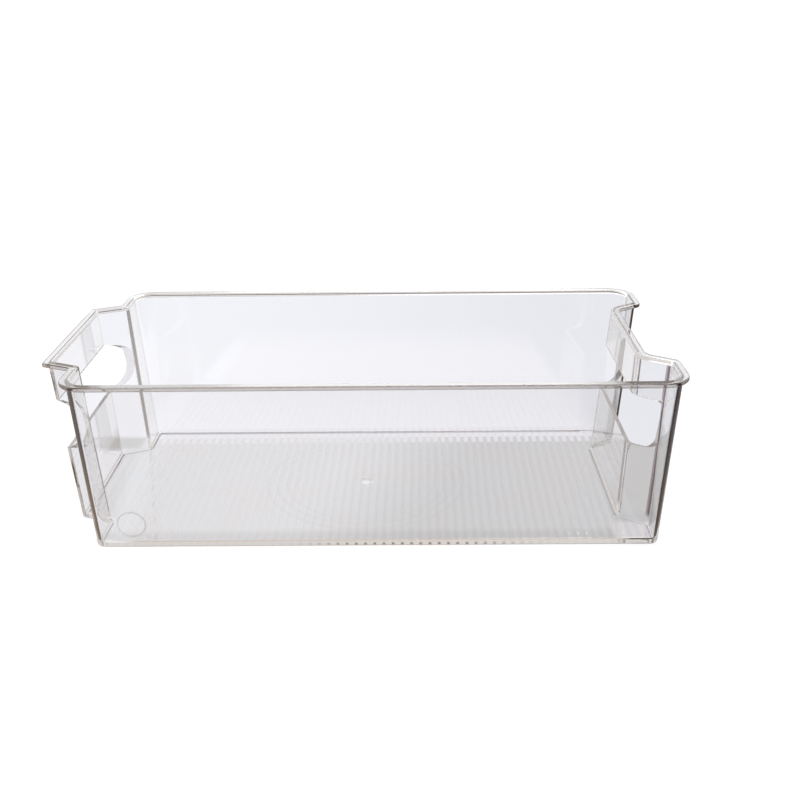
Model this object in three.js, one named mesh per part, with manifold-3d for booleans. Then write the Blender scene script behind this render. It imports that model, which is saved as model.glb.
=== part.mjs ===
// Fridge drawer organizer: an open bin moulded in one piece of clear plastic.
// Millimetres, +Z up. The origin is on the surface that the bin stands on, under the middle of
// its length (X) and width (Y). The bulge is at -X and the recess is at +X.

import * as THREE from 'three';
import { mergeGeometries, mergeVertices } from 'three/addons/utils/BufferGeometryUtils.js';
import Module from 'manifold-3d';

const wasm = await Module();
wasm.setup();

// Overall sizes, over the rim
const length = 315;
const width = 158;
const height = 90;

// Plastic thickness and the slope that lets the bin leave its mould
const wall = 2;
const floorThickness = 2;
const sideDraftDegrees = 3.6;
const endDraftDegrees = 3.5;

// Rim: a flat flange round the mouth
const rimOverhang = 2.8;
const rimThickness = 2.3;
const rimOuterRadius = 0.8;
const mouthRadius = 1.1;

// Corners, seen from above
const rimCornerRadius = 14.5;
const baseCornerRadius = 4.5;
const leastRadius = 0.3;

// Edges between walls and floor
const footRadius = 1.5;
const floorFilletRadius = 2;

// Bulge that stands out of the left end between two shoulders, and narrows by a flare each side.
// Its root radius is that of the wall's outer face.
const bulgeReach = 15.5;
const bulgeShoulder = 27.5;
const bulgeFlare = 7;
const bulgeCornerRadius = 1.6;
const bulgeRootRadius = 0.5;

// Recess in the right end between two lobes, which narrows by a taper each side
const recessDepth = 14.4;
const lobeWidth = 32.5;
const recessTaper = 9.5;
const recessMouthRadius = 5;
const recessBackRadius = 8;

// Hand holes: a side core cuts each one straight along X. Each wraps a little way round the
// corners beside it.
const bulgeHole = {
  wrap: 2,
  belowRim: 20.5,
  tall: 27.5,
  topCorner: { across: 7, up: 6 },
  bottomCorner: { across: 7.5, up: 17 },
};
const recessHole = {
  wrap: 2.5,
  belowRim: 21,
  tall: 26,
  topCorner: { across: 2.5, up: 4 },
  bottomCorner: { across: 4, up: 7 },
};

// Floor ribs, front to back
const ribPitch = 4.63;
const ribFootWidth = 2.8;
const ribTopWidth = 1.4;
const ribHeight = 0.3;
const ribEndSlope = 8.5;
const ribEndGap = 4.7;
const ribFirstGap = 5.5;

// Injection gate in the underside
const gateRadius = 3.6;
const gateDepth = 0.7;
const gateNubRadius = 1.1;
const gateNubDrop = 0.3;

// Witness ring that a round mould insert leaves low on the front wall
const insertRingRadius = 7;
const insertRingWidth = 0.6;
const insertRingDepth = 0.25;
const insertFromEnd = 17.6;
const insertLevel = 13.8;

// How far a cutting body reaches past what it cuts
const overrun = 1;

// Steps in a round stretch
const cornerSteps = 10;
const smallCornerSteps = 5;
const edgeSteps = 4;
const holeCornerSteps = 10;
const discSteps = 48;

const halfLength = length / 2;
const halfWidth = width / 2;
const sideSlope = Math.tan(THREE.MathUtils.degToRad(sideDraftDegrees));
const endSlope = Math.tan(THREE.MathUtils.degToRad(endDraftDegrees));
const leftEnd = -halfLength + bulgeReach;
const bulgeRootHalfWidth = halfWidth - bulgeShoulder;
const bulgeFaceHalfWidth = bulgeRootHalfWidth - bulgeFlare;
const recessBack = halfLength - recessDepth;
const recessMouthHalfWidth = halfWidth - lobeWidth;
const recessBackHalfWidth = recessMouthHalfWidth - recessTaper;
const innerInset = rimOverhang + wall;
const rimBottom = height - rimThickness;

// Rim outline, counter-clockwise from above. Each corner has its radius, how much smaller that
// radius is at the base, and the slope of the wall that leaves the corner.
const bigCorner = {
  radius: rimCornerRadius,
  shrink: rimCornerRadius - rimOverhang - baseCornerRadius,
  steps: cornerSteps,
};
const mouthCorner = { radius: recessMouthRadius, shrink: 0, steps: smallCornerSteps };
const backCorner = { radius: recessBackRadius, shrink: 0, steps: smallCornerSteps };
const rootCorner = {
  radius: bulgeRootRadius - rimOverhang,
  shrink: 0,
  steps: smallCornerSteps,
};
const bulgeCorner = { radius: bulgeCornerRadius, shrink: 0, steps: smallCornerSteps };
const outlineCorners = [
  { x: halfLength, y: -halfWidth, slope: endSlope, ...bigCorner },
  { x: halfLength, y: -recessMouthHalfWidth, slope: sideSlope, ...mouthCorner },
  { x: recessBack, y: -recessBackHalfWidth, slope: endSlope, ...backCorner },
  { x: recessBack, y: recessBackHalfWidth, slope: sideSlope, ...backCorner },
  { x: halfLength, y: recessMouthHalfWidth, slope: endSlope, ...mouthCorner },
  { x: halfLength, y: halfWidth, slope: sideSlope, ...bigCorner },
  { x: leftEnd, y: halfWidth, slope: endSlope, ...bigCorner },
  { x: leftEnd, y: bulgeRootHalfWidth, slope: sideSlope, ...rootCorner },
  { x: -halfLength, y: bulgeFaceHalfWidth, slope: endSlope, ...bulgeCorner },
  { x: -halfLength, y: -bulgeFaceHalfWidth, slope: sideSlope, ...bulgeCorner },
  { x: leftEnd, y: -bulgeRootHalfWidth, slope: endSlope, ...rootCorner },
  { x: leftEnd, y: -halfWidth, slope: sideSlope, ...bigCorner },
];

// The walls of the outline at a height: each one is moved in by the inset and, below the rim,
// by its own draft.
function wallLines(inset, z) {
  const drop = Math.max(rimBottom - z, 0);
  return outlineCorners.map((corner, index) => {
    const next = outlineCorners[(index + 1) % outlineCorners.length];
    const start = new THREE.Vector2(corner.x, corner.y);
    const along = new THREE.Vector2(next.x, next.y).sub(start).normalize();
    const inward = new THREE.Vector2(-along.y, along.x);
    start.addScaledVector(inward, inset + corner.slope * drop);
    return { start, along, inward };
  });
}

// Where two wall lines meet
function meeting(first, second) {
  const gap = second.start.clone().sub(first.start);
  const travel = gap.cross(second.along) / first.along.cross(second.along);
  return first.start.clone().addScaledVector(first.along, travel);
}

// The closed outline at a height, with every corner rounded by an arc that its walls can hold.
function outlineAt(inset, z) {
  const lines = wallLines(inset, z);
  const count = lines.length;
  const corners = lines.map((line, index) => meeting(lines[(index + count - 1) % count], line));
  const points = [];
  corners.forEach((corner, index) => {
    const { radius, shrink, steps } = outlineCorners[index];
    const before = lines[(index + count - 1) % count];
    const after = lines[index];
    const turn = Math.atan2(before.along.cross(after.along), before.along.dot(after.along));
    const side = Math.sign(turn);
    const wanted = radius - side * (inset + shrink * (height - z) / height);
    const roomBefore = corner.distanceTo(corners[(index + count - 1) % count]) / 2;
    const roomAfter = corner.distanceTo(corners[(index + 1) % count]) / 2;
    const mostRadius = Math.min(roomBefore, roomAfter) / Math.tan(Math.abs(turn) / 2);
    const used = Math.min(Math.max(wanted, leastRadius), mostRadius);
    const arcStart = corner.clone()
      .addScaledVector(before.along, -used * Math.tan(Math.abs(turn) / 2));
    const centre = arcStart.clone().addScaledVector(before.inward, side * used);
    for (let step = 0; step <= steps; step += 1) {
      points.push(arcStart.clone().rotateAround(centre, turn * step / steps));
    }
  });
  return points.map((point) => new THREE.Vector3(point.x, point.y, z));
}

// A skin through rings of equal point counts, closed by a flat cap on the first and last ring.
function loftedSolid(rings) {
  const perRing = rings[0].length;
  const positions = rings.flat().flatMap((point) => point.toArray());
  const indices = [];
  for (let ring = 0; ring < rings.length - 1; ring += 1) {
    for (let index = 0; index < perRing; index += 1) {
      const a = ring * perRing + index;
      const b = ring * perRing + (index + 1) % perRing;
      indices.push(a, b, b + perRing);
      indices.push(a, b + perRing, a + perRing);
    }
  }
  const capOf = (ring) => THREE.ShapeUtils.triangulateShape(
    ring.map((point) => new THREE.Vector2(point.x, point.y)), []);
  capOf(rings[0]).forEach(([a, b, c]) => indices.push(a, c, b));
  const top = (rings.length - 1) * perRing;
  capOf(rings[rings.length - 1]).forEach(([a, b, c]) => indices.push(top + a, top + b, top + c));
  const geometry = new THREE.BufferGeometry();
  geometry.setAttribute('position', new THREE.Float32BufferAttribute(positions, 3));
  geometry.setIndex(indices);
  return geometry;
}

// Rings up the outside of the bin, over the rim and down the inside to the floor
function binRings() {
  const rings = [];
  const quarter = Math.PI / 2;
  for (let step = 0; step <= edgeSteps; step += 1) {
    const angle = quarter * step / edgeSteps;
    const z = footRadius * (1 - Math.cos(angle));
    rings.push(outlineAt(rimOverhang + footRadius * (1 - Math.sin(angle)), z));
  }
  rings.push(outlineAt(rimOverhang, rimBottom));
  rings.push(outlineAt(rimOuterRadius, rimBottom));
  rings.push(outlineAt(0, rimBottom + rimOuterRadius));
  rings.push(outlineAt(0, height - rimOuterRadius));
  rings.push(outlineAt(rimOuterRadius, height));
  for (let step = 0; step <= edgeSteps; step += 1) {
    const angle = quarter * step / edgeSteps;
    const z = height - mouthRadius * (1 - Math.cos(angle));
    rings.push(outlineAt(innerInset - mouthRadius * (1 - Math.sin(angle)), z));
  }
  rings.push(outlineAt(innerInset, rimBottom));
  for (let step = 0; step <= edgeSteps; step += 1) {
    const angle = quarter * step / edgeSteps;
    const z = floorThickness + floorFilletRadius * (1 - Math.sin(angle));
    rings.push(outlineAt(innerInset + floorFilletRadius * (1 - Math.cos(angle)), z));
  }
  return rings;
}

// Profile of a hand hole in Y and Z, with an elliptical corner at each end
function holeShape({ wrap, belowRim, tall, topCorner, bottomCorner }, cornerHalfWidth) {
  const reach = cornerHalfWidth + wrap;
  const top = height - belowRim;
  const bottom = top - tall;
  const shape = new THREE.Shape();
  const quarter = Math.PI / 2;
  const cornerArc = (side, centreZ, corner, from) => {
    const centreY = side * (reach - corner.across);
    shape.absellipse(centreY, centreZ, corner.across, corner.up, from, from + quarter, false);
  };
  cornerArc(-1, bottom + bottomCorner.up, bottomCorner, Math.PI);
  cornerArc(1, bottom + bottomCorner.up, bottomCorner, Math.PI + quarter);
  cornerArc(1, top - topCorner.up, topCorner, 0);
  cornerArc(-1, top - topCorner.up, topCorner, quarter);
  shape.closePath();
  return shape;
}

// Core that cuts a hand hole between two places along X
function holeCore(shape, fromX, toX) {
  const core = new THREE.ExtrudeGeometry(shape, {
    depth: toX - fromX,
    bevelEnabled: false,
    curveSegments: holeCornerSteps,
  });
  const acrossUpAlong = new THREE.Matrix4().makeBasis(
    new THREE.Vector3(0, 1, 0),
    new THREE.Vector3(0, 0, 1),
    new THREE.Vector3(1, 0, 0));
  return core.applyMatrix4(acrossUpAlong).translate(fromX, 0, 0);
}

// Base outline on the floor's top face: how far the ribs can reach each way
const floorSideInset = innerInset + sideSlope * (rimBottom - floorThickness);
const floorEndInset = innerInset + endSlope * (rimBottom - floorThickness);
const ribHalfLength = halfWidth - floorSideInset - floorFilletRadius - ribEndGap;
const ribFirst = leftEnd + floorEndInset + ribFirstGap;
const ribLast = recessBack - floorEndInset;

// One rib: a bar with sloping flanks and ends that starts inside the floor
function ribGeometry(x) {
  const foot = floorThickness - overrun;
  const crest = floorThickness + ribHeight;
  const ringOf = (z, halfAcross, halfAlong) => [
    new THREE.Vector3(x - halfAcross, -halfAlong, z),
    new THREE.Vector3(x + halfAcross, -halfAlong, z),
    new THREE.Vector3(x + halfAcross, halfAlong, z),
    new THREE.Vector3(x - halfAcross, halfAlong, z),
  ];
  return loftedSolid([
    ringOf(foot, ribFootWidth / 2, ribHalfLength),
    ringOf(floorThickness, ribFootWidth / 2, ribHalfLength),
    ringOf(crest, ribTopWidth / 2, ribHalfLength - ribEndSlope),
  ]);
}

function ribRow() {
  const ribs = [];
  const count = Math.floor((ribLast - ribFirst) / ribPitch) + 1;
  for (let index = 0; index < count; index += 1) {
    ribs.push(ribGeometry(ribLast - ribPitch * index));
  }
  return mergeGeometries(ribs);
}

// A solid of revolution about +Z from points of radius and height, counter-clockwise
function turned(points) {
  const profile = points.map(([radius, z]) => new THREE.Vector2(radius, z));
  return new THREE.LatheGeometry(profile, discSteps).rotateX(Math.PI / 2);
}

// Well round the gate, with the gate's broken nub left standing in it
function gateWell() {
  return turned([
    [0, -overrun],
    [gateRadius, -overrun],
    [gateRadius, gateDepth],
    [gateNubRadius, gateDepth],
    [gateNubRadius, gateDepth - gateNubDrop],
    [0, gateDepth - gateNubDrop],
  ]);
}

// The ring lies in the drafted face of the front wall, with its axis square to that face.
function insertRing() {
  const inner = insertRingRadius - insertRingWidth / 2;
  const outer = insertRingRadius + insertRingWidth / 2;
  return turned([
    [inner, -overrun],
    [outer, -overrun],
    [outer, insertRingDepth],
    [inner, insertRingDepth],
    [inner, -overrun],
  ])
    .rotateX(-Math.PI / 2 + THREE.MathUtils.degToRad(sideDraftDegrees))
    .translate(
      leftEnd + floorEndInset + insertFromEnd,
      -halfWidth + rimOverhang + sideSlope * (rimBottom - insertLevel),
      insertLevel);
}

// Geometry to solid and back
function solidOf(geometry) {
  const bare = new THREE.BufferGeometry();
  bare.setAttribute('position', geometry.getAttribute('position').clone());
  if (geometry.getIndex()) {
    bare.setIndex(geometry.getIndex().clone());
  }
  const merged = mergeVertices(bare);
  return new wasm.Manifold(new wasm.Mesh({
    numProp: 3,
    vertProperties: Float32Array.from(merged.getAttribute('position').array),
    triVerts: Uint32Array.from(merged.getIndex().array),
  }));
}

function geometryOf(solid) {
  const mesh = solid.getMesh();
  const geometry = new THREE.BufferGeometry();
  geometry.setAttribute('position', new THREE.Float32BufferAttribute(mesh.vertProperties, 3));
  geometry.setIndex(Array.from(mesh.triVerts));
  geometry.computeVertexNormals();
  return geometry;
}

function binGeometry() {
  const insideLeft = leftEnd + floorEndInset;
  const insideRight = recessBack - floorEndInset;
  const bulgeShape = holeShape(bulgeHole, bulgeFaceHalfWidth);
  const recessShape = holeShape(recessHole, recessMouthHalfWidth);
  const bulgeCore = holeCore(bulgeShape, -halfLength - overrun, insideLeft + overrun);
  const recessCore = holeCore(recessShape, insideRight - overrun, halfLength + overrun);
  const bin = solidOf(loftedSolid(binRings()))
    .add(solidOf(ribRow()))
    .subtract(solidOf(bulgeCore))
    .subtract(solidOf(recessCore))
    .subtract(solidOf(gateWell()))
    .subtract(solidOf(insertRing()));
  return geometryOf(bin);
}

const clearPlastic = new THREE.MeshStandardMaterial({
  color: 0xeef0f3,
  roughness: 0.06,
  metalness: 0,
  transparent: true,
  opacity: 0.35,
});

const bin = new THREE.Mesh(binGeometry(), clearPlastic);
bin.name = 'bin';

const organizer = new THREE.Group();
organizer.add(bin);

export default organizer;
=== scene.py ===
import math

import bmesh
import bpy
import numpy as np
from mathutils import Matrix, Vector
from mathutils.geometry import delaunay_2d_cdt


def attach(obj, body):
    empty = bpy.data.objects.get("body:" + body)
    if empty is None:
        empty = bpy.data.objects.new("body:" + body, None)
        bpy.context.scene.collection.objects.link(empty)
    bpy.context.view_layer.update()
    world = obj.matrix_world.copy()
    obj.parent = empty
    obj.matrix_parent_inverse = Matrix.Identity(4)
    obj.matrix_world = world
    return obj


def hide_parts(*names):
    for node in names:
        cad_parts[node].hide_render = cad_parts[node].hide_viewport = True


# Fridge drawer organizer: one clear moulded bin on a pale floor, in the CAD's frame.
# The shell is the CAD's own loft with finer steps. Sizes and places are millimetres, and become
# metres where a mesh, a material or the camera takes them.

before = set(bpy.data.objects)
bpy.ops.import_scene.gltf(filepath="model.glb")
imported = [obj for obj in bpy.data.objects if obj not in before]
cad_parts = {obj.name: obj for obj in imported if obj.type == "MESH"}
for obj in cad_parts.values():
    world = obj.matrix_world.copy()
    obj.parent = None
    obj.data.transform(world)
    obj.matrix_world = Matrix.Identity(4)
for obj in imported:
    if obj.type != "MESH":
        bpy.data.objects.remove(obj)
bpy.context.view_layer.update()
mm = 0.001
scene = bpy.context.scene

# What a user would change. keepOff, nudge and leastFlat place the helper points beside arcs,
# which keep flat walls flat.
binSizes = dict(
    length=315.0, width=158.0, height=90.0,
    wall=2.0, floor=2.0, sideDraft=3.6, endDraft=3.5,
    rimOverhang=2.8, rimThickness=2.3, rimOuterRadius=0.8, mouthRadius=1.1, flangeRoot=0.5,
    rimCornerRadius=14.5, baseCornerRadius=4.5, leastRadius=0.3,
    footRadius=1.5, floorFilletRadius=2.0,
    bulgeReach=15.5, bulgeShoulder=27.5, bulgeFlare=7.0,
    bulgeCornerRadius=1.6, bulgeRootRadius=0.5,
    recessDepth=14.4, lobeWidth=32.5, recessTaper=9.5,
    recessMouthRadius=5.0, recessBackRadius=8.0, backShrink=-9.0,
    keepOff=0.25, nudge=0.05, leastFlat=0.04,
)
# How many steps or points each curve has
steps = dict(corner=18, smallCorner=9, edge=7, holeCorner=16, ribProfile=9, ribEnd=7, disc=64,
             markTurn=96, markSection=9)

# What follows from the sizes
halfLength = binSizes["length"] / 2
halfWidth = binSizes["width"] / 2
height = binSizes["height"]
sideSlope = math.tan(math.radians(binSizes["sideDraft"]))
endSlope = math.tan(math.radians(binSizes["endDraft"]))
leftEnd = -halfLength + binSizes["bulgeReach"]
rootHalf = halfWidth - binSizes["bulgeShoulder"]
faceHalf = rootHalf - binSizes["bulgeFlare"]
recessBack = halfLength - binSizes["recessDepth"]
mouthHalf = halfWidth - binSizes["lobeWidth"]
backHalf = mouthHalf - binSizes["recessTaper"]
innerInset = binSizes["rimOverhang"] + binSizes["wall"]
rimBottom = height - binSizes["rimThickness"]
bigShrink = binSizes["rimCornerRadius"] - binSizes["rimOverhang"] - binSizes["baseCornerRadius"]
floorSideInset = innerInset + sideSlope * (rimBottom - binSizes["floor"])
floorEndInset = innerInset + endSlope * (rimBottom - binSizes["floor"])

# Corners: radius, how much less it is at the base, and steps
bigCorner = (binSizes["rimCornerRadius"], bigShrink, steps["corner"])
mouthCorner = (binSizes["recessMouthRadius"], 0, steps["smallCorner"])
backCorner = (binSizes["recessBackRadius"], binSizes["backShrink"], steps["smallCorner"])
rootCorner = (binSizes["bulgeRootRadius"] - binSizes["rimOverhang"], 0, steps["smallCorner"])
faceCorner = (binSizes["bulgeCornerRadius"], 0, steps["smallCorner"])
# The outline anticlockwise: x, y, slope of the wall that leaves the corner, and the corner
corners = [
    (halfLength, -halfWidth, endSlope, bigCorner),
    (halfLength, -mouthHalf, sideSlope, mouthCorner),
    (recessBack, -backHalf, endSlope, backCorner),
    (recessBack, backHalf, sideSlope, backCorner),
    (halfLength, mouthHalf, endSlope, mouthCorner),
    (halfLength, halfWidth, sideSlope, bigCorner),
    (leftEnd, halfWidth, endSlope, bigCorner),
    (leftEnd, rootHalf, sideSlope, rootCorner),
    (-halfLength, faceHalf, endSlope, faceCorner),
    (-halfLength, -faceHalf, sideSlope, faceCorner),
    (leftEnd, -rootHalf, endSlope, rootCorner),
    (leftEnd, -halfWidth, sideSlope, bigCorner),
]
places = np.array([(x, y) for x, y, _, _ in corners])
slopes = np.array([slope for _, _, slope, _ in corners])
alongs = np.roll(places, -1, axis=0) - places
alongs /= np.linalg.norm(alongs, axis=1)[:, None]
inwards = np.stack([-alongs[:, 1], alongs[:, 0]], axis=1)


# Ring at a height: each wall is moved in by inset plus slope times its depth under the rim,
# neighbours meet in corners, and each corner is an arc tangent to both with its radius grown
# or shrunk by the inset. A point just past each arc keeps the flat walls' shading flat.
def ringAt(inset, z):
    drop = max(rimBottom - z, 0)
    starts = places + inwards * (inset + slopes * drop)[:, None]
    before = np.roll(alongs, 1, axis=0)
    beforeStarts = np.roll(starts, 1, axis=0)
    gap = starts - beforeStarts
    cross = before[:, 0] * alongs[:, 1] - before[:, 1] * alongs[:, 0]
    travel = (gap[:, 0] * alongs[:, 1] - gap[:, 1] * alongs[:, 0]) / cross
    meets = beforeStarts + before * travel[:, None]
    dot = (before * alongs).sum(axis=1)
    turns = np.arctan2(cross, dot)
    sideLength = np.linalg.norm(np.roll(meets, -1, axis=0) - meets, axis=1)
    room = np.minimum(sideLength, np.roll(sideLength, 1)) / 2
    points = []
    for index, (_, _, _, (radius, shrink, count)) in enumerate(corners):
        turn = turns[index]
        side = np.sign(turn)
        reach = math.tan(abs(turn) / 2)
        wanted = radius - side * (inset + shrink * (height - z) / height)
        most = (room[index] - binSizes["leastFlat"]) / reach
        used = min(max(wanted, binSizes["leastRadius"]), most)
        start = meets[index] - before[index] * used * reach
        beforeIn = np.array([-before[index][1], before[index][0]])
        centre = start + beforeIn * side * used
        angles = turn * np.arange(count + 1) / count
        cos, sin = np.cos(angles), np.sin(angles)
        arm = start - centre
        arc = centre + np.stack([arm[0] * cos - arm[1] * sin, arm[0] * sin + arm[1] * cos], axis=1)
        slack = min(binSizes["keepOff"], (room[index] - used * reach) / 2)
        points.append(arc[:1] - before[index] * slack)
        points.append(arc)
        points.append(arc[-1:] + alongs[index] * slack)
    flat = np.concatenate(points)
    return np.column_stack([flat, np.full(len(flat), z)])


# Rings up the outside, over the rim and down the inside: every rounded edge is a quarter arc,
# z = R(1 - cos a) and inset = R(1 - sin a), with one more ring just past it on the flat.
def shellRings():
    quarter = np.linspace(0, math.pi / 2, steps["edge"] + 1)
    over = binSizes["rimOverhang"]
    foot = binSizes["footRadius"]
    outer = binSizes["rimOuterRadius"]
    mouthEdge = binSizes["mouthRadius"]
    fillet = binSizes["floorFilletRadius"]
    flangeRoot = binSizes["flangeRoot"]
    floorTop = binSizes["floor"]
    keepOff, nudge = binSizes["keepOff"], binSizes["nudge"]
    rings = [ringAt(over + foot + keepOff, 0)]
    rings += [ringAt(over + foot * (1 - math.sin(a)), foot * (1 - math.cos(a))) for a in quarter]
    rings.append(ringAt(over, foot + keepOff))
    rings.append(ringAt(over, rimBottom - flangeRoot - 2 * nudge))
    # A small root radius joins the wall to the flange
    rings += [ringAt(over - flangeRoot * (1 - math.cos(a)),
                     rimBottom - flangeRoot * (1 - math.sin(a))) for a in quarter]
    rings.append(ringAt(over - flangeRoot - nudge, rimBottom))
    rings.append(ringAt(outer + nudge, rimBottom))
    rings += [ringAt(outer * (1 - math.sin(a)), rimBottom + outer * (1 - math.cos(a)))
              for a in quarter]
    rings += [ringAt(outer * (1 - math.cos(a)), height - outer * (1 - math.sin(a)))
              for a in quarter]
    rings.append(ringAt(outer + nudge, height))
    rings.append(ringAt(innerInset - mouthEdge - nudge, height))
    rings += [ringAt(innerInset - mouthEdge * (1 - math.sin(a)),
                     height - mouthEdge * (1 - math.cos(a))) for a in quarter]
    rings.append(ringAt(innerInset, rimBottom))
    rings.append(ringAt(innerInset, floorTop + fillet + keepOff))
    rings += [ringAt(innerInset + fillet * (1 - math.cos(a)),
                     floorTop + fillet * (1 - math.sin(a))) for a in quarter]
    rings.append(ringAt(innerInset + fillet + keepOff, floorTop))
    return rings


# An object from points in millimetres
def meshFrom(name, points, faces):
    mesh = bpy.data.meshes.new(name)
    mesh.from_pydata((np.asarray(points) * mm).tolist(), [], faces)
    mesh.validate()
    mesh.update()
    thing = bpy.data.objects.new(name, mesh)
    scene.collection.objects.link(thing)
    return thing


# Quads that join rings of count points each, whose points are numbered from first on
def ringQuads(levels, count, first=0):
    a = np.arange(count)
    b = (a + 1) % count
    base = (np.arange(levels - 1) * count + first)[:, None]
    quads = np.stack([a + base, b + base, b + base + count, a + base + count], axis=2)
    return quads.reshape(-1, 4).tolist()


# Rings joined by quads, with a cap on the first and the last
def lofted(name, rings):
    count = len(rings[0])
    faces = ringQuads(len(rings), count)
    top = (len(rings) - 1) * count
    faces.append(list(reversed(range(count))))
    faces.append(list(range(top, top + count)))
    return meshFrom(name, np.concatenate(rings), faces)


# Hand holes: wrap is how far one runs on past the end's corners, and high and low are the
# half axes of its upper and lower corners
bulgeHole = dict(wrap=2.0, belowRim=20.5, tall=27.5, high=(7.0, 6.0), low=(7.5, 17.0))
recessHole = dict(wrap=2.5, belowRim=21.0, tall=26.0, high=(2.5, 4.0), low=(4.0, 7.0))
overrun = 1.0


# Profile in Y and Z with a quarter ellipse in each corner
def holeProfile(cornerHalf, hole):
    reach = cornerHalf + hole["wrap"]
    top = height - hole["belowRim"]
    bottom = top - hole["tall"]
    quarter = np.linspace(0, math.pi / 2, steps["holeCorner"] + 1)
    parts = []
    for side, centreZ, (across, up), start in (
        (-1, bottom + hole["low"][1], hole["low"], math.pi),
        (1, bottom + hole["low"][1], hole["low"], 1.5 * math.pi),
        (1, top - hole["high"][1], hole["high"], 0.0),
        (-1, top - hole["high"][1], hole["high"], math.pi / 2),
    ):
        angle = quarter + start
        parts.append(np.stack([side * (reach - across) + across * np.cos(angle),
                               centreZ + up * np.sin(angle)], axis=1))
    return np.concatenate(parts)


# The profile swept straight along X
def holeCore(name, profile, fromX, toX):
    rings = [np.column_stack([np.full(len(profile), x), profile]) for x in (fromX, toX)]
    return lofted(name, rings)


# Floor ribs: sunk, lift and clear serve the ribs that run into the end's rounded foot
ribSizes = dict(pitch=4.63, foot=2.8, height=0.3, endSlope=8.5, endGap=4.7, firstGap=5.5,
                sunk=1.0, lift=0.03, clear=0.3)
ribHalf = halfWidth - floorSideInset - binSizes["floorFilletRadius"] - ribSizes["endGap"]
ribFirst = leftEnd + floorEndInset + ribSizes["firstGap"]
ribLast = recessBack - floorEndInset


# Across a rib the profile is a cosine bell, z = height * (1 + cos(2 pi u / foot)) / 2; its ends
# come down as a quarter sine over endSlope. Rows are across, columns along.
def ribGrid(x):
    angle = np.linspace(math.pi, 0, steps["ribProfile"])
    u = ribSizes["foot"] / 2 * np.cos(angle)
    w = ribSizes["height"] * (0.5 + 0.5 * np.cos(2 * math.pi * u / ribSizes["foot"]))
    ends = np.linspace(0, 1, steps["ribEnd"])
    runs = ribHalf - ribSizes["endSlope"] * ends
    along = np.concatenate([-runs, runs[::-1]])
    rise = np.sin(ends * math.pi / 2)
    rise = np.concatenate([rise, rise[::-1]])
    w[[0, -1]] = 0
    grid = np.empty((len(u), len(along), 3))
    grid[:, :, 0] = x + u[:, None]
    grid[:, :, 1] = along[None, :]
    grid[:, :, 2] = binSizes["floor"] + w[:, None] * rise[None, :]
    return grid


# A point is inside an outline when a line from it towards +X crosses the outline an odd
# number of times
def inside(points, outline):
    a, b = outline, np.roll(outline, -1, axis=0)
    x, y = points[:, :1], points[:, 1:2]
    crosses = (a[:, 1] > y) != (b[:, 1] > y)
    with np.errstate(divide="ignore", invalid="ignore"):
        at = (b[:, 0] - a[:, 0]) * (y - a[:, 1]) / (b[:, 1] - a[:, 1]) + a[:, 0]
    return (crosses & (x < at)).sum(axis=1) % 2 == 1


# A flat cap is a constrained triangulation of its outline and its holes, which keeps every
# triangle whose middle is inside the outline and outside the holes.
def capTriangles(loops):
    sameWithin = 1e-6
    flat = np.concatenate(loops)
    edges, first = [], 0
    for loop in loops:
        ids = np.arange(first, first + len(loop))
        edges += np.stack([ids, np.roll(ids, -1)], axis=1).tolist()
        first += len(loop)
    _, _, faces, origin, _, _ = delaunay_2d_cdt(
        [Vector(p) for p in flat.tolist()], edges, [], 0, sameWithin)
    known = np.array([o[0] if o else -1 for o in origin])
    faces = known[np.array(faces)]
    middles = flat[faces].mean(axis=1)
    keep = inside(middles, loops[0])
    for hole in loops[1:]:
        low, high = hole.min(axis=0), hole.max(axis=0)
        near = ((middles > low) & (middles < high)).all(axis=1)
        keep[near] &= ~inside(middles[near], hole)
    return faces[keep]


# The mark of a round mould insert on the front wall. fromEnd and level are its middle, and above
# is how far its cutter stands out.
insertMark = dict(radius=7.0, width=0.9, depth=0.025, fromEnd=17.6, level=13.8, above=1.0)


# A groove turned into a ring and leant as the wall leans. Its section is a cosine bell,
# depth * (1 + cos(pi u / half width)) / 2.
def insertCutter():
    turn = np.linspace(0, 2 * math.pi, steps["markTurn"], endpoint=False)
    half = np.linspace(0, math.pi, steps["markSection"])
    wide, above = insertMark["width"] / 2, insertMark["above"]
    section = [(wide * math.cos(a),
                insertMark["depth"] * (0.5 + 0.5 * math.cos(math.pi * math.cos(a)))) for a in half]
    section += [(-wide, -above), (wide, -above)]
    across = np.array([s[0] for s in section])[:, None] + insertMark["radius"]
    depth = np.array([s[1] for s in section])[:, None] + 0 * turn
    flat = np.stack([across * np.cos(turn), depth, across * np.sin(turn)], axis=2)
    tilt = math.radians(binSizes["sideDraft"])
    y = flat[:, :, 1] * math.cos(tilt) - flat[:, :, 2] * math.sin(tilt)
    z = flat[:, :, 1] * math.sin(tilt) + flat[:, :, 2] * math.cos(tilt)
    wallY = -halfWidth + binSizes["rimOverhang"] + sideSlope * (rimBottom - insertMark["level"])
    points = np.stack([flat[:, :, 0] + leftEnd + floorEndInset + insertMark["fromEnd"],
                       y + wallY, z + insertMark["level"]], axis=2)
    rows, columns = points.shape[:2]
    ids = np.arange(rows * columns).reshape(rows, columns)
    down, right = np.roll(ids, -1, axis=0), np.roll(ids, -1, axis=1)
    faces = np.stack([ids, right, np.roll(down, -1, axis=1), down], axis=2)
    return meshFrom("insertCutter", points.reshape(-1, 3), faces.reshape(-1, 4).tolist())


# Joins or cuts with the given objects, and puts that and all other modifiers into the mesh
def applied(thing, cutters):
    for cutter, operation in cutters:
        step = thing.modifiers.new(cutter.name, "BOOLEAN")
        step.object = cutter
        step.operation = operation
        step.solver = "MANIFOLD"
    graph = bpy.context.evaluated_depsgraph_get()
    mesh = bpy.data.meshes.new_from_object(thing.evaluated_get(graph), depsgraph=graph)
    thing.modifiers.clear()
    thing.data = mesh
    for cutter, _ in cutters:
        bpy.data.objects.remove(cutter)


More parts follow.
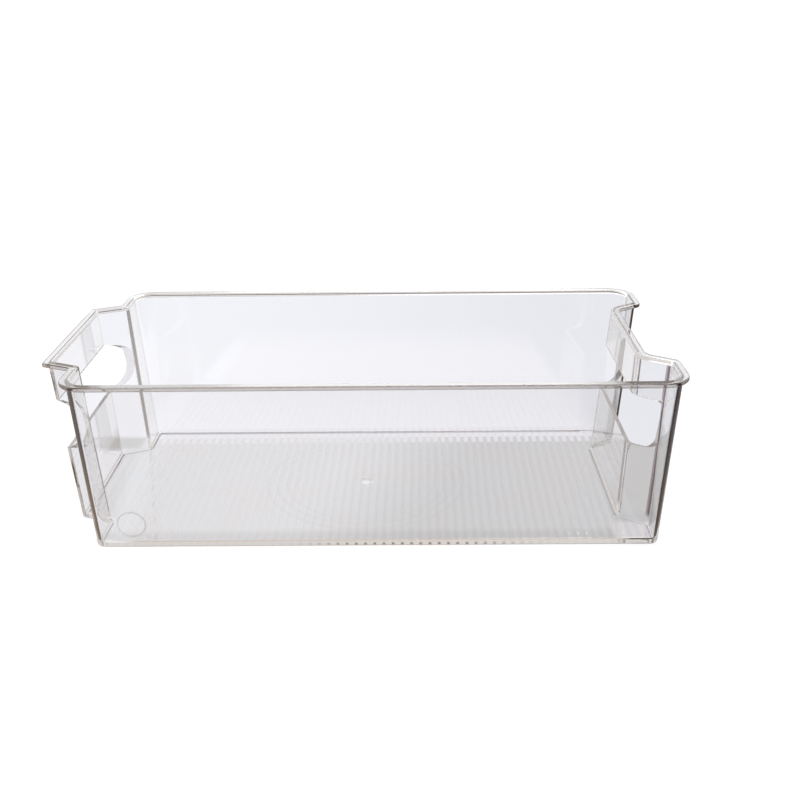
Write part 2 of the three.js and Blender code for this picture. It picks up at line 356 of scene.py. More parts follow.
# The numbers of a grid's border points, anticlockwise, and of its quads
def ribBorder(rows, columns):
    ids = np.arange(rows * columns).reshape(rows, columns)
    border = np.concatenate([ids[:-1, 0], ids[-1, :-1], ids[:0:-1, -1], ids[0, :0:-1]])
    cell = np.stack([ids[:-1, :-1], ids[1:, :-1], ids[1:, 1:], ids[:-1, 1:]], axis=2)
    return border, cell.reshape(-1, 4)


# A rib that runs into the end's rounded foot is a closed bar sunk in the floor, joined later.
def ribBars(grids):
    points, faces, total = [], [], 0
    for grid in grids:
        border, cell = ribBorder(*grid.shape[:2])
        loose = grid.reshape(-1, 3) + (0, 0, ribSizes["lift"])
        skirt = loose[border].copy()
        skirt[:, 2] = binSizes["floor"] - ribSizes["sunk"]
        count = len(border)
        c = np.arange(count)
        d = (c + 1) % count
        low = len(loose) + c
        faces += (cell + total).tolist()
        faces += (np.stack([border[d], border[c], low[c], low[d]], axis=1) + total).tolist()
        faces.append((low[::-1] + total).tolist())
        points += [loose, skirt]
        total += len(loose) + count
    return meshFrom("ribBars", np.concatenate(points), faces)


# The gate's well under the floor, with the gate's stub in its middle: radius and height
gate = dict(wellRadius=3.6, wellDepth=0.7, stubRadius=1.1, stubTop=0.4)
gateProfile = ((gate["wellRadius"], 0.0), (gate["wellRadius"], gate["wellDepth"]),
               (gate["stubRadius"], gate["wellDepth"]), (gate["stubRadius"], gate["stubTop"]))


# The whole shell: the rings' skin, the underside with the gate's well, and the ribbed floor
def shellMesh():
    rings = shellRings()
    count = len(rings[0])
    points = [np.concatenate(rings)]
    faces = ringQuads(len(rings), count)
    total = len(points[0])

    disc = steps["disc"]
    angle = -np.linspace(0, 2 * math.pi, disc, endpoint=False)
    spin = np.stack([np.cos(angle), np.sin(angle)], axis=1)
    circles = [np.column_stack([spin * r, np.full(disc, z)]) for r, z in gateProfile]
    under = capTriangles([rings[0][:, :2], circles[0][:, :2]])
    under = np.where(under < count, under, under - count + total)
    faces += under[:, ::-1].tolist()
    faces += ringQuads(len(circles), disc, total)
    last = total + (len(circles) - 1) * disc
    faces.append(list(range(last, last + disc)))
    points += circles
    total += len(circles) * disc

    ribCount = int((ribLast - ribFirst) / ribSizes["pitch"]) + 1
    grids = [ribGrid(ribLast - ribSizes["pitch"] * index) for index in range(ribCount)]
    border, cell = ribBorder(*grids[0].shape[:2])
    loops = [rings[-1][:, :2]]
    clear = ribSizes["clear"]
    swollen = [grid[[0, 0, -1, -1], [0, -1, 0, -1], :2]
               + [(-clear, 0), (-clear, 0), (clear, 0), (clear, 0)] for grid in grids]
    free = [inside(corner, loops[0]).all() and
            not inside(loops[0], corner[[0, 1, 3, 2]]).any() for corner in swollen]
    crossing = [grid for grid, alone in zip(grids, free) if not alone]
    grids = [grid for grid, alone in zip(grids, free) if alone]
    remap = [np.arange(count) + (len(rings) - 1) * count]
    for grid in grids:
        loose = grid.reshape(-1, 3)
        loops.append(loose[border, :2])
        remap.append(border + total)
        faces += (cell + total).tolist()
        points.append(loose)
        total += len(loose)
    top = capTriangles(loops)
    faces += np.concatenate(remap)[top].tolist()
    return meshFrom("clearBin", np.concatenate(points), faces), ribBars(crossing)


shell, bars = shellMesh()
print("stage: shell", len(shell.data.vertices))
bulgeProfile = holeProfile(faceHalf, bulgeHole)
recessProfile = holeProfile(mouthHalf, recessHole)
bulgeCore = holeCore("bulgeCore", bulgeProfile, -halfLength - overrun,
                     leftEnd + floorEndInset + overrun)
recessCore = holeCore("recessCore", recessProfile, recessBack - floorEndInset - overrun,
                      halfLength + overrun)
applied(shell, [(bars, "UNION"), (bulgeCore, "DIFFERENCE"), (recessCore, "DIFFERENCE"),
                (insertCutter(), "DIFFERENCE")])
print("stage: joined", len(shell.data.vertices), len(shell.data.polygons))

# Cut edges of the hand holes: sharper than so many degrees, between these heights, and so far
# from the bin's middle
holeEdge = dict(sharp=50, low=40.0, high=71.0, fromMiddle=115.0, radius=0.35, segments=3)


# The hand holes' cut edges are broken by a small round
def roundHoleEdges():
    work = bmesh.new()
    work.from_mesh(shell.data)
    weight = work.edges.layers.float.new("bevel_weight_edge")
    low, high, fromMiddle = (holeEdge[key] * mm for key in ("low", "high", "fromMiddle"))
    count = 0
    for edge in work.edges:
        if len(edge.link_faces) != 2 or edge.calc_face_angle(0) < math.radians(holeEdge["sharp"]):
            continue
        if all(low < v.co.z < high and abs(v.co.x) > fromMiddle for v in edge.verts):
            edge[weight] = 1.0
            count += 1
    work.to_mesh(shell.data)
    work.free()
    bevel = shell.modifiers.new("holeEdges", "BEVEL")
    bevel.limit_method = "WEIGHT"
    bevel.width = holeEdge["radius"] * mm
    bevel.segments = holeEdge["segments"]
    bevel.use_clamp_overlap = True
    applied(shell, [])
    print("stage: hole edges", count, len(shell.data.vertices))


roundHoleEdges()

check = bmesh.new()
check.from_mesh(shell.data)
print("stage: open edges", sum(len(e.link_faces) != 2 for e in check.edges),
      "volume in cm3", check.calc_volume(signed=True) * 1e6)
check.free()


# How far each flat point is from an outline: the distance to the nearest place on each side,
# whose share of the side's length is kept between 0 and 1, and then the least of them
def outlineGap(points, outline):
    a, b = outline, np.roll(outline, -1, axis=0)
    step = b - a
    length = np.maximum((step ** 2).sum(axis=1), 1e-12)
    share = ((points[:, None] - a[None]) * step).sum(axis=2) / length
    near = a[None] + np.clip(share, 0, 1)[..., None] * step
    return np.linalg.norm(points[:, None] - near, axis=2).min(axis=1)


# below and gap find the flange's outer face: so far under its edge, so near the outline. hole is
# how near a hand hole's profile, and along is the greatest X of the normal of a face that runs
# straight through the hole.
marks = dict(below=0.1, gap=0.7, hole=0.6, along=0.1)


# The plastic is told where the flange's outer face and the hand holes' cut edges are, which carry
# painted shade, and which faces run straight through the holes
def markParts():
    at = np.array([v.co for v in shell.data.vertices]) / mm
    flange = np.zeros(len(at))
    high = np.nonzero(at[:, 2] > rimBottom - marks["below"])[0]
    flange[high] = outlineGap(at[high, :2], ringAt(0, height)[:, :2]) < marks["gap"]
    shell.data.attributes.new("flange", "FLOAT", "POINT").data.foreach_set("value", flange)
    atHole = np.zeros(len(at), dtype=bool)
    for side, profile in ((-1, bulgeProfile), (1, recessProfile)):
        ids = np.nonzero(at[:, 0] * side > holeEdge["fromMiddle"])[0]
        atHole[ids] = outlineGap(at[ids][:, 1:], profile) < marks["hole"]
    near = np.array([atHole[list(p.vertices)].all() for p in shell.data.polygons])
    along = np.array([abs(p.normal.x) < marks["along"] for p in shell.data.polygons])
    for name, mark in (("tunnel", near & along), ("cut", near & ~along)):
        layer = shell.data.attributes.new(name, "FLOAT", "FACE")
        layer.data.foreach_set("value", mark.astype(float))
        print("stage: marked", name, int(mark.sum()))


markParts()

# Shading: edges past this angle in degrees stay sharp, and level faces are shaded flat
shading = dict(sharp=38, level=0.9999, weight=100)
shell.data.set_sharp_from_angle(angle=math.radians(shading["sharp"]))
for polygon in shell.data.polygons:
    polygon.use_smooth = abs(polygon.normal.z) < shading["level"]
weighted = shell.modifiers.new("weightedNormals", "WEIGHTED_NORMAL")
weighted.keep_sharp = True
weighted.weight = shading["weight"]
applied(shell, [])


# Materials: each helper below adds one node or a few to a tree and gives their output
def node(tree, kind, **values):
    made = tree.nodes.new(kind)
    for key, value in values.items():
        setattr(made, key, value)
    return made


# The owner's tree, emptied, and its new output node
def emptyTree(owner, outKind):
    owner.use_nodes = True
    owner.node_tree.nodes.clear()
    return owner.node_tree, node(owner.node_tree, outKind)


def axes(tree, vector):
    split = node(tree, "ShaderNodeSeparateXYZ")
    tree.links.new(vector, split.inputs[0])
    return [split.outputs[axis] for axis in "XYZ"]


def maths(tree, operation, first, second=None):
    step = node(tree, "ShaderNodeMath", operation=operation)
    for socket, value in zip(step.inputs, (first, second)):
        if isinstance(value, (int, float)):
            socket.default_value = value
        elif value is not None:
            tree.links.new(value, socket)
    return step.outputs[0]


def product(tree, first, *others):
    for other in others:
        first = maths(tree, "MULTIPLY", first, other)
    return first


# Distance from the Z axis, sqrt(x x + y y)
def flatDistance(tree, x, y):
    return maths(tree, "SQRT", maths(tree, "ADD", product(tree, x, x), product(tree, y, y)))


# 1 for a ray whose depth, a whole number, is more than 0
def onceOrMore(tree, depth):
    return maths(tree, "GREATER_THAN", depth, 0.5)


# A smooth step: 0 at the pair's first value, 1 at its second
def ramped(tree, value, pair):
    step = node(tree, "ShaderNodeMapRange", clamp=True, interpolation_type="SMOOTHSTEP")
    step.inputs["From Min"].default_value = pair[0]
    step.inputs["From Max"].default_value = pair[1]
    tree.links.new(value, step.inputs["Value"])
    return step.outputs["Result"]


# A zone is the product of smooth steps along named directions, with its places in millimetres
def zone(tree, at, limits):
    return product(tree, *(ramped(tree, at[along], (start * mm, end * mm))
                           for along, pairs in limits.items() for start, end in pairs))


# An angle that turns once a rib and is 0 at shift past the last rib's middle
def ribAngle(tree, x, shift):
    past = maths(tree, "SUBTRACT", x, (ribLast + shift) * mm)
    return maths(tree, "MULTIPLY", past, 2 * math.pi / (ribSizes["pitch"] * mm))


# From the first colour at share 0 to the second at 1
def blended(tree, share, first, second, how="MIX"):
    step = node(tree, "ShaderNodeMix", data_type="RGBA", blend_type=how)
    if isinstance(share, float):
        step.inputs[0].default_value = share
    else:
        tree.links.new(share, step.inputs[0])
    for socket, value in zip((step.inputs[6], step.inputs[7]), (first, second)):
        if isinstance(value, tuple):
            socket.default_value = (*value, 1)
        else:
            tree.links.new(value, socket)
    return step.outputs[2]


# The product of two colours
def tinted(tree, first, second):
    return blended(tree, 1.0, first, second, "MULTIPLY")


# From the first shader at share 0 to the second at 1
def switched(tree, share, first, second):
    step = node(tree, "ShaderNodeMixShader")
    for socket, value in zip(step.inputs, (share, first, second)):
        tree.links.new(value, socket)
    return step.outputs[0]


def shone(tree, kind, colour, strength=1.0):
    step = node(tree, kind)
    step.inputs["Strength"].default_value = strength
    if isinstance(colour, tuple):
        step.inputs["Color"].default_value = (*colour, 1)
    else:
        tree.links.new(colour, step.inputs["Color"])
    return step.outputs[0]


# Clear moulded plastic. light and dull are painted light and shade in bands over the ribs, rose
# and blue the slow change of hue, and rings to the corner tint are tints of single places. Of
# these, all but rings are painted shade: the flange's front faces and lip lines, the hand holes'
# cut edges, dashes at the rib ends, a line along the rear fillet, the flange's top at the ends and
# the lobes' inner corners. shadow is what a shadow ray lets through, absorbed and density are the
# volume's, and ripple and flow are heights in metres.
plasticLooks = dict(
    clear=(0.985, 0.985, 0.99), light=(0.992, 0.984, 0.986), dull=(0.905, 0.910, 0.925),
    rose=(0.985, 0.968, 0.972), blue=(0.966, 0.975, 0.988), rings=(0.965, 0.965, 0.965),
    flange=(0.47, 0.42, 0.39), lip=(0.24, 0.20, 0.18), cut=(0.32, 0.28, 0.25),
    dash=(0.16, 0.10, 0.05), line=(0.35, 0.34, 0.34), topEnds=(0.89, 0.88, 0.88),
    paintedCornerShade=(0.25, 0.20, 0.21), matt=(0.85, 0.83, 0.81), mattShare=0.3,
    shadow=(0.95, 0.95, 0.955), absorbed=(0.62, 0.55, 0.5), density=12.0, index=1.57,
    ripple=0.00004, flow=0.00001, slowScale=22.0, slowDetail=2.0, slowHue=(0.35, 0.65),
    flowScale=(160.0, 160.0, 9.0), flowDetail=1.0,
)
# The bands of painted light and shade lean a little off the ribs, wander with the slow noise and
# get stronger to the right.
# Pitch and shifts are millimetres, and wave is where the cosine starts and ends to count.
bandSizes = dict(lean=-0.0116, shift=1.47, wander=1.5, least=0.18, more=0.32)
flowRings = dict(pitch=5.5, wave=(-0.2, 1.0))
dashes = dict(shift=-1.2527, wave=(0.35, 0.85))
# How far a face must turn for its tint, as the part of its normal along Y or Z
facingLimits = dict(flange=(-0.2, -0.6), dashes=(-0.2, -0.5), rearLine=(0.3, 0.5),
                    topEnds=(0.9, 0.97), paintedCornerShade=(0.3, 0.5))
# The line of the lobes' inner corner at the end, where a dark line of painted shade goes, moved
# along the wall's lean down to z = 0
paintedCornerShadeWidth = 1.0
paintedCornerShadeFrom = halfLength - innerInset - endSlope * rimBottom - paintedCornerShadeWidth
# Zones of the plastic. far and wide are x and y without their sign, middle is the distance from
# the bin's middle, and lean is x moved along the wall's lean down to z = 0. Two pairs along one
# direction make a window.
plasticZones = dict(
    floor=dict(z=[(3.5, 2.5)]),
    bands=dict(x=[(-90, 30)]),
    flowRings=dict(middle=[(20, 50), (62, 56)]),
    dashes=dict(x=[(-50, 0), (100, 50)], y=[(-66, -68)], z=[(0.8, 1.2), (2.6, 2.2)]),
    rearLine=dict(far=[(132, 130)], y=[(65.8, 66.2), (67.6, 67.2)], z=[(3.0, 2.6)]),
    upperLip=dict(z=[(89.2, 89.5), (89.95, 89.8)]),
    lowerLip=dict(z=[(88.5, 88.2)]),
    topEnds=dict(far=[(100, 130)], z=[(89.0, 89.5)]),
    paintedCornerShade=dict(lean=[(paintedCornerShadeFrom, paintedCornerShadeFrom + 0.3)], wide=[(56.5, 56.0)],
                z=[(4, 8), (87.4, 87.0)]),
)


# Painted light and shade over the ribs: share of light in the bands = 0.5 + strength * cos(angle),
# where the angle is 2 pi (x + lean * y - ribLast - shift) / pitch + wander * (slow noise - 0.5)
def plasticTint(tree, at, facing, slow):
    leant = maths(tree, "ADD", at["x"], maths(tree, "MULTIPLY", at["y"], bandSizes["lean"]))
    wander = maths(tree, "MULTIPLY", maths(tree, "SUBTRACT", slow, 0.5), bandSizes["wander"])
    angle = maths(tree, "ADD", ribAngle(tree, leant, bandSizes["shift"]), wander)
    strength = product(tree, zone(tree, at, plasticZones["bands"]), bandSizes["more"])
    strength = maths(tree, "ADD", strength, bandSizes["least"])
    band = product(tree, maths(tree, "COSINE", angle), strength)
    tint = blended(tree, maths(tree, "ADD", band, 0.5), plasticLooks["dull"],
                   plasticLooks["light"])
    hue = blended(tree, ramped(tree, slow, plasticLooks["slowHue"]), plasticLooks["rose"],
                  plasticLooks["blue"])
    tint = tinted(tree, tint, hue)

    # Flow rings round the gate
    turns = maths(tree, "MULTIPLY", at["middle"], 2 * math.pi / (flowRings["pitch"] * mm))
    wave = ramped(tree, maths(tree, "COSINE", turns), flowRings["wave"])
    wave = product(tree, wave, zone(tree, at, plasticZones["flowRings"]))
    tint = blended(tree, wave, tint, tinted(tree, tint, plasticLooks["rings"]))
    tint = blended(tree, zone(tree, at, plasticZones["floor"]), plasticLooks["clear"], tint)

    # Painted shade: the flange's front faces are tinted warm and dim, for the light they lose as
    # they look down the length of the plastic
    flange = node(tree, "ShaderNodeAttribute", attribute_name="flange").outputs["Fac"]
    front = product(tree, flange, ramped(tree, facing["y"], facingLimits["flange"]))
    tint = blended(tree, front, tint, plasticLooks["flange"])

    # Painted shade: a brown dash at each rib's end at the front foot, and a dark line along the
    # rear fillet
    angle = ribAngle(tree, at["x"], dashes["shift"])
    dash = product(tree, ramped(tree, maths(tree, "COSINE", angle), dashes["wave"]),
                   zone(tree, at, plasticZones["dashes"]),
                   ramped(tree, facing["y"], facingLimits["dashes"]))
    tint = blended(tree, dash, tint, plasticLooks["dash"])
    line = product(tree, zone(tree, at, plasticZones["rearLine"]),
                   ramped(tree, facing["z"], facingLimits["rearLine"]))
    tint = blended(tree, line, tint, plasticLooks["line"])

    # Painted shade: dark lines along the top and bottom edges of the flange's front faces
    lip = maths(tree, "MAXIMUM", zone(tree, at, plasticZones["upperLip"]),
                zone(tree, at, plasticZones["lowerLip"]))
    tint = blended(tree, product(tree, front, lip), tint, plasticLooks["lip"])
    # Painted shade: the hand holes' cut edges are tinted dark
    cut = node(tree, "ShaderNodeAttribute", attribute_name="cut").outputs["Fac"]
    tint = blended(tree, cut, tint, plasticLooks["cut"])

    # Painted shade: the flange's top is tinted darker at the ends, and the lobes' sharp inner
    # corners get dark lines
    top = product(tree, zone(tree, at, plasticZones["topEnds"]),
                  ramped(tree, facing["z"], facingLimits["topEnds"]))
    tint = blended(tree, top, tint, plasticLooks["topEnds"])
    inward = product(tree, facing["y"], maths(tree, "SIGN", at["y"]))
    paintedCornerShade = product(tree, zone(tree, at, plasticZones["paintedCornerShade"]),
                     ramped(tree, inward, facingLimits["paintedCornerShade"]))
    return blended(tree, paintedCornerShade, tint, plasticLooks["paintedCornerShade"])


# The walls have a slow ripple and finer upright flow lines
def plasticNormal(tree, place, slow):
    squeeze = node(tree, "ShaderNodeMapping")
    squeeze.inputs["Scale"].default_value = plasticLooks["flowScale"]
    tree.links.new(place, squeeze.inputs["Vector"])
    upright = node(tree, "ShaderNodeTexNoise")
    upright.inputs["Scale"].default_value = 1.0
    upright.inputs["Detail"].default_value = plasticLooks["flowDetail"]
    tree.links.new(squeeze.outputs[0], upright.inputs["Vector"])
    ripple = node(tree, "ShaderNodeBump")
    ripple.inputs["Distance"].default_value = plasticLooks["ripple"]
    tree.links.new(slow, ripple.inputs["Height"])
    flow = node(tree, "ShaderNodeBump")
    flow.inputs["Distance"].default_value = plasticLooks["flow"]
    tree.links.new(upright.outputs["Fac"], flow.inputs["Height"])
    tree.links.new(ripple.outputs[0], flow.inputs["Normal"])
    return flow.outputs[0]


# Painted light and shade: a ray that has run along inside the plastic is not traced further but
# glows in these tones, set by place: dark in the outer corners, pale at the edges. It counts as
# run along after so many mirrorings.
paintedGuidedTones = dict(
    wall=(0.42, 0.40, 0.39), hole=(0.40, 0.36, 0.32), front=(0.68, 0.67, 0.66),
    left=(0.18, 0.14, 0.10), right=(0.09, 0.065, 0.05),
    foot=(0.60, 0.54, 0.48), base=(0.93, 0.92, 0.91), floor=(0.80, 0.79, 0.78),
    rim=(0.80, 0.76, 0.74), rimRear=(0.92, 0.92, 0.93), mirrorings=2.5,
)
paintedGuidedZones = dict(
    base=dict(z=[(1.2, 0.6)]),
    frontFoot=dict(y=[(-64, -66)]),
    foot=dict(z=[(8, 3)]),
    hole=dict(far=[(118, 122)], wide=[(43, 40)], z=[(32, 36), (78, 74)]),
    frontWall=dict(far=[(125, 120)], y=[(-66, -70)], z=[(20, 40)]),
    outerCorners=dict(far=[(126, 129)], wide=[(66, 68)]),
    bulgeCorners=dict(x=[(-146.5, -148.5)], wide=[(32, 35)]),
    right=dict(x=[(-100, 100)]),
    rimRear=dict(y=[(-50, 60)]),
    rim=dict(z=[(86, 87)]),
)


def paintedGuidedTone(tree, at):
    share = {name: zone(tree, at, limits) for name, limits in paintedGuidedZones.items()}
    foot = blended(tree, share["base"], paintedGuidedTones["foot"], paintedGuidedTones["base"])
    foot = blended(tree, share["frontFoot"], paintedGuidedTones["floor"], foot)
    tone = blended(tree, share["foot"], paintedGuidedTones["wall"], foot)
    tone = blended(tree, share["hole"], tone, paintedGuidedTones["hole"])
    tone = blended(tree, share["frontWall"], tone, paintedGuidedTones["front"])
    corner = blended(tree, share["right"], paintedGuidedTones["left"], paintedGuidedTones["right"])
    outer = maths(tree, "MAXIMUM", share["outerCorners"], share["bulgeCorners"])
    tone = blended(tree, outer, tone, corner)
    rim = blended(tree, share["rimRear"], paintedGuidedTones["rim"], paintedGuidedTones["rimRear"])
    return blended(tree, share["rim"], tone, rim)


# A dielectric with a weak warm absorption, which lets shadow rays pass. Its tint holds painted
# shade, and rays mirrored inside it many times end in a painted glow.
def clearPlastic():
    material = bpy.data.materials.new("clearPlastic")
    tree, out = emptyTree(material, "ShaderNodeOutputMaterial")
    link = tree.links.new
    place = node(tree, "ShaderNodeTexCoord").outputs["Object"]
    at = dict(zip("xyz", axes(tree, place)))
    at["far"] = maths(tree, "ABSOLUTE", at["x"])
    at["wide"] = maths(tree, "ABSOLUTE", at["y"])
    at["middle"] = flatDistance(tree, at["x"], at["y"])
    at["lean"] = maths(tree, "SUBTRACT", at["x"], maths(tree, "MULTIPLY", at["z"], endSlope))
    facing = dict(zip("xyz", axes(tree, node(tree, "ShaderNodeNewGeometry").outputs["Normal"])))
    noise = node(tree, "ShaderNodeTexNoise")
    noise.inputs["Scale"].default_value = plasticLooks["slowScale"]
    noise.inputs["Detail"].default_value = plasticLooks["slowDetail"]
    link(place, noise.inputs["Vector"])
    slow = noise.outputs["Fac"]

    body = node(tree, "ShaderNodeBsdfPrincipled")
    link(plasticTint(tree, at, facing, slow), body.inputs["Base Color"])
    link(plasticNormal(tree, place, slow), body.inputs["Normal"])
    body.inputs["Roughness"].default_value = 0.0
    body.inputs["IOR"].default_value = plasticLooks["index"]
    body.inputs["Transmission Weight"].default_value = 1.0

    # The faces where the mould's halves shut off against each other are finely matt
    matt = node(tree, "ShaderNodeBsdfDiffuse")
    matt.inputs["Color"].default_value = (*plasticLooks["matt"], 1)
    tunnel = node(tree, "ShaderNodeAttribute", attribute_name="tunnel").outputs["Fac"]
    share = maths(tree, "MULTIPLY", tunnel, plasticLooks["mattShare"])
    skin = switched(tree, share, body.outputs[0], matt.outputs[0])

    path = node(tree, "ShaderNodeLightPath")
    # Rays mirrored more than so many times see the painted glow instead of the plastic
    deep = maths(tree, "GREATER_THAN", path.outputs["Glossy Depth"], paintedGuidedTones["mirrorings"])
    inner = switched(tree, deep, skin, shone(tree, "ShaderNodeEmission", paintedGuidedTone(tree, at)))
    clear = node(tree, "ShaderNodeBsdfTransparent")
    clear.inputs["Color"].default_value = (*plasticLooks["shadow"], 1)
    link(switched(tree, path.outputs["Is Shadow Ray"], inner, clear.outputs[0]),
         out.inputs["Surface"])
    absorb = node(tree, "ShaderNodeVolumeAbsorption")
    absorb.inputs["Color"].default_value = (*plasticLooks["absorbed"], 1)
    absorb.inputs["Density"].default_value = plasticLooks["density"]
    link(absorb.outputs[0], out.inputs["Volume"])
    return material


shell.data.materials.clear()
shell.data.materials.append(clearPlastic())
print("stage: plastic", len(shell.data.materials[0].node_tree.nodes))
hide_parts("bin")
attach(shell, "root")

# Floor, light and world. Plastic shows its edges by what it mirrors inside itself, so a ray that
# has been mirrored meets a darker studio: bright behind the bin and overhead, dim at its sides.
# What the floor shows through the plastic or in a mirroring is painted shade, light and
# reflection.
studioTones = dict(
    underLeft=(0.845, 0.862, 0.878), underRight=(0.635, 0.648, 0.66),
    farLeft=(1.005, 1.015, 1.06), farRight=(0.905, 0.915, 0.965),
    notch=(0.66, 0.66, 0.665), dim=(0.74, 0.74, 0.745), lobe=(0.78, 0.78, 0.785),
    strip=(0.85, 0.845, 0.84), gate=(1.05, 1.05, 1.06),
    mirrorNear=(0.92, 0.91, 0.91), mirrorFront=(0.70, 0.60, 0.52),
    sideLeft=(0.20, 0.15, 0.105), sideRight=(0.075, 0.05, 0.035),
    darkLeft=(0.12, 0.10, 0.09), darkRight=(0.04, 0.03, 0.032),
    skyBehind=(0.88, 0.87, 0.87), skyOver=(0.95, 0.94, 0.93), skyDim=(0.30, 0.27, 0.25),
    skyMiddle=(0.80, 0.78, 0.77), white=(1.0, 1.0, 1.0), fill=(0.7, 0.7, 0.7),
    softbox=(2.4, 2.4, 2.4), around=(0.9, 0.9, 0.9), bentUp=(0.38, 0.345, 0.32),
)
# The floor's half width is in metres. ribEnds, aslant and bulge move the borders of its zones.
groundSizes = dict(halfWidth=20.0, sunk=0.2, albedo=0.34, glow=0.74, ribEnds=8.0,
                   onRib=(-0.1, 0.5), aslant=0.3, bulge=18.0, twoWalls=3.5)
groundZones = dict(
    sides=dict(far=[(135, 160)]),
    rear=dict(rear=[(59.5, 61.5)]),
    front=dict(y=[(-68, -70)]),
    right=dict(aslant=[(-35, 60)]),
    strip=dict(y=[(-52, -60)]),
    gate=dict(middle=[(2.8, 1.4)]),
    leftToRight=dict(x=[(-200, 200)]),
    notch=dict(x=[(142.5, 144.5)], y=[(62, 56), (-50, -46)]),
    dim=dict(x=[(-137, -141), (-185, -155)], y=[(46, 53), (70, 63)]),
    lobe=dict(x=[(127, 132)], y=[(-46, -50)]),
    outside=dict(reach=[(128, 138)]),
    beyond=dict(far=[(170, 240)]),
    before=dict(y=[(-130, -300)]),
    nearFront=dict(x=[(-126, -112)], y=[(20, -60)]),
)
inBulge = dict(x=[(0, -10)], wide=[(47, 43)])


# Painted shade and light on the ground, seen only through the plastic: dull under the bin, bright
# beyond it, with painted shade at a front strip, the notch and beside the bulge, a lighter patch
# at the lobe and a painted highlight at the gate
def groundThrough(tree, share, path, far):
    away = maths(tree, "MAXIMUM", maths(tree, "MAXIMUM", share["sides"], share["rear"]),
                 share["front"])
    under = blended(tree, share["right"], studioTones["underLeft"], studioTones["underRight"])
    under = blended(tree, share["strip"], under, tinted(tree, under, studioTones["strip"]))
    # Painted highlight: the ground at the gate's well is brighter
    under = blended(tree, share["gate"], under, studioTones["gate"])
    through = blended(tree, share["lobe"], under, studioTones["lobe"])
    through = blended(tree, away, through, far)
    through = blended(tree, share["dim"], through, studioTones["dim"])
    walls = maths(tree, "GREATER_THAN", path.outputs["Transmission Depth"],
                  groundSizes["twoWalls"])
    return blended(tree, product(tree, share["notch"], walls), through, studioTones["notch"])


# Painted reflections: what the ground shows in a mirroring, bright inside the bin's own outline,
# dark outside it
def groundMirrored(tree, share):
    dark = blended(tree, share["leftToRight"], studioTones["darkLeft"], studioTones["darkRight"])
    side = blended(tree, share["leftToRight"], studioTones["sideLeft"], studioTones["sideRight"])
    side = blended(tree, share["beyond"], side, dark)
    near = blended(tree, share["nearFront"], studioTones["mirrorNear"],
                   studioTones["mirrorFront"])
    mirror = blended(tree, share["outside"], near, side)
    return blended(tree, share["before"], mirror, dark)


def paleFloor():
    material = bpy.data.materials.new("paleFloor")
    tree, out = emptyTree(material, "ShaderNodeOutputMaterial")
    x, y, _ = axes(tree, node(tree, "ShaderNodeTexCoord").outputs["Object"])
    at = dict(x=x, y=y, far=maths(tree, "ABSOLUTE", x), wide=maths(tree, "ABSOLUTE", y),
              middle=flatDistance(tree, x, y))
    # Painted light: the ribs' sloping ends catch the light from behind, so the lit ground shows
    # further in there
    onRib = ramped(tree, maths(tree, "COSINE", ribAngle(tree, x, 0)), groundSizes["onRib"])
    at["rear"] = maths(tree, "ADD", y, maths(tree, "MULTIPLY", onRib, groundSizes["ribEnds"] * mm))
    at["aslant"] = maths(tree, "SUBTRACT", x, maths(tree, "MULTIPLY", y, groundSizes["aslant"]))
    # The mirrored ground stays bright as far as the bin's own floor reaches, also in the bulge
    further = product(tree, zone(tree, at, inBulge), groundSizes["bulge"] * mm)
    at["reach"] = maths(tree, "SUBTRACT", at["far"], further)
    share = {name: zone(tree, at, limits) for name, limits in groundZones.items()}
    far = blended(tree, share["leftToRight"], studioTones["farLeft"], studioTones["farRight"])

    path = node(tree, "ShaderNodeLightPath")
    mat = node(tree, "ShaderNodeBsdfDiffuse")
    mat.inputs["Color"].default_value = (groundSizes["albedo"],) * 3 + (1,)
    both = node(tree, "ShaderNodeAddShader")
    glow = shone(tree, "ShaderNodeEmission", studioTones["white"], groundSizes["glow"])
    tree.links.new(mat.outputs[0], both.inputs[0])
    tree.links.new(glow, both.inputs[1])
    seen = switched(tree, path.outputs["Is Camera Ray"], mat.outputs[0], both.outputs[0])
    passed = onceOrMore(tree, path.outputs["Transmission Depth"])
    through = groundThrough(tree, share, path, far)
    seen = switched(tree, passed, seen, shone(tree, "ShaderNodeEmission", through))
    mirrored = onceOrMore(tree, path.outputs["Glossy Depth"])
    mirror = groundMirrored(tree, share)
    seen = switched(tree, mirrored, seen, shone(tree, "ShaderNodeEmission", mirror))
    tree.links.new(seen, out.inputs["Surface"])
    return material


floorMesh = bpy.data.meshes.new("floor")
span = groundSizes["halfWidth"]
floorMesh.from_pydata([(-span, -span, 0), (span, -span, 0), (span, span, 0), (-span, span, 0)],
                      [], [(0, 1, 2, 3)])
floor = bpy.data.objects.new("floor", floorMesh)
floor.location.z = -groundSizes["sunk"] * mm
scene.collection.objects.link(floor)
floorMesh.materials.append(paleFloor())

# Spread and tilt are degrees
lamp = dict(energy=1.0, spread=40, tilt=(-35, 20, 0))
sunData = bpy.data.lights.new("softSun", "SUN")
sunData.energy = lamp["energy"]
sunData.angle = math.radians(lamp["spread"])
sun = bpy.data.objects.new("softSun", sunData)
sun.rotation_euler = [math.radians(angle) for angle in lamp["tilt"]]
scene.collection.objects.link(sun)

# Parts of a direction along x, y and z where the world changes its tone
worldLimits = dict(behind=(0.3, 0.6), overhead=(0.62, 0.8), between=(0.1, 0.4),
                   leftToRight=(-0.4, 0.4), boxFoot=(0.12, 0.25), boxTop=(0.75, 0.6),
                   boxSides=(0.20, 0.14), level=(-0.1, 0.2))


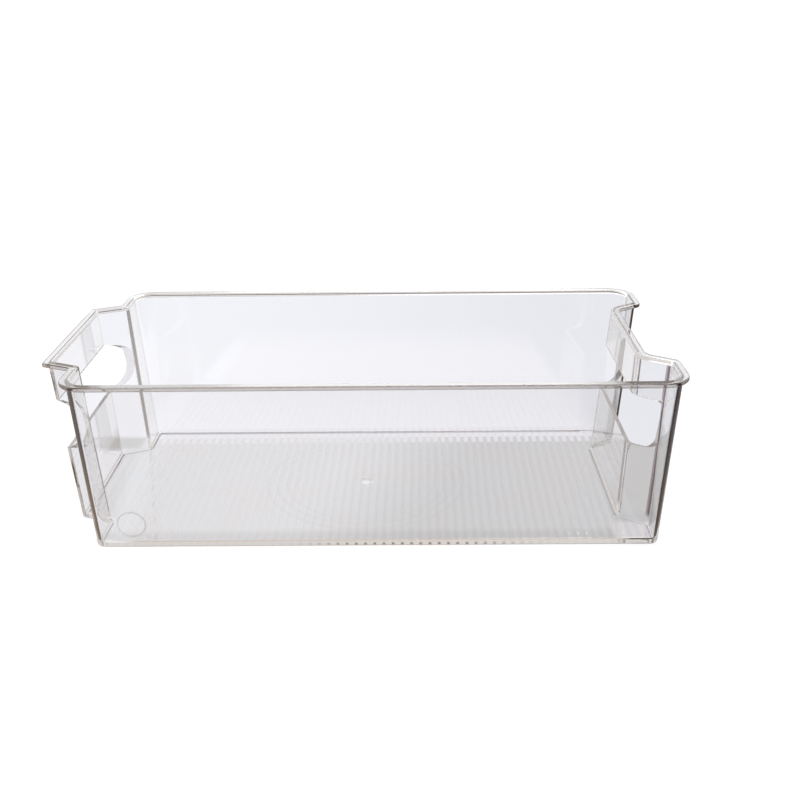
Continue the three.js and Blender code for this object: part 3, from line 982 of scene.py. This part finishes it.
def studioWorld():
    world = bpy.data.worlds.new("studio")
    scene.world = world
    tree, out = emptyTree(world, "ShaderNodeOutputWorld")
    x, y, z = axes(tree, node(tree, "ShaderNodeTexCoord").outputs["Generated"])
    along = dict(behind=y, overhead=z, between=z, leftToRight=x, boxFoot=z, boxTop=z,
                 boxSides=maths(tree, "ABSOLUTE", x), level=z)
    share = {name: ramped(tree, along[name], pair) for name, pair in worldLimits.items()}
    sky = blended(tree, share["between"], studioTones["skyDim"], studioTones["skyMiddle"])
    sky = blended(tree, share["behind"], sky, studioTones["skyBehind"])
    sky = blended(tree, share["overhead"], sky, studioTones["skyOver"])
    box = product(tree, share["behind"], share["boxFoot"], share["boxTop"], share["boxSides"])
    glint = blended(tree, box, studioTones["around"], studioTones["softbox"])
    far = blended(tree, share["leftToRight"], studioTones["farLeft"], studioTones["farRight"])
    far = blended(tree, share["level"], far, studioTones["bentUp"])
    path = node(tree, "ShaderNodeLightPath")
    passed = onceOrMore(tree, path.outputs["Transmission Depth"])
    mirrored = onceOrMore(tree, path.outputs["Glossy Depth"])
    seen = blended(tree, passed, studioTones["white"], far)
    seen = blended(tree, mirrored, seen, blended(tree, passed, glint, sky))
    seen = blended(tree, path.outputs["Is Diffuse Ray"], seen, studioTones["fill"])
    tree.links.new(shone(tree, "ShaderNodeBackground", seen), out.inputs["Surface"])


studioWorld()
print("stage: studio")

# Camera: place in millimetres, angles in degrees, the focal length in pixels of the frame, and
# the sensor's width in millimetres. nearest and farthest are metres.
view = dict(place=(25.4, -527.55, 267.67), pitch=22.373, yaw=-0.636, roll=-0.664,
            focal=1042.0, frame=800.0, sensor=36.0, nearest=0.01, farthest=100)


def placeCamera():
    pitch, yaw, roll = (math.radians(view[k]) for k in ("pitch", "yaw", "roll"))
    forward = Vector((math.sin(yaw) * math.cos(pitch), math.cos(yaw) * math.cos(pitch),
                      -math.sin(pitch)))
    right = Vector((math.cos(yaw), -math.sin(yaw), 0))
    up = right.cross(forward)
    across = right * math.cos(roll) + up * math.sin(roll)
    upward = up * math.cos(roll) - right * math.sin(roll)
    data = bpy.data.cameras.new("camera")
    data.sensor_width = view["sensor"]
    data.lens = view["focal"] / view["frame"] * view["sensor"]
    data.clip_start = view["nearest"]
    data.clip_end = view["farthest"]
    camera = bpy.data.objects.new("camera", data)
    turn = Matrix((across, upward, -forward)).transposed()
    camera.matrix_world = Matrix.Translation(Vector(view["place"]) * mm) @ turn.to_4x4()
    scene.collection.objects.link(camera)
    scene.camera = camera


placeCamera()
scene.view_settings.view_transform = "Standard"
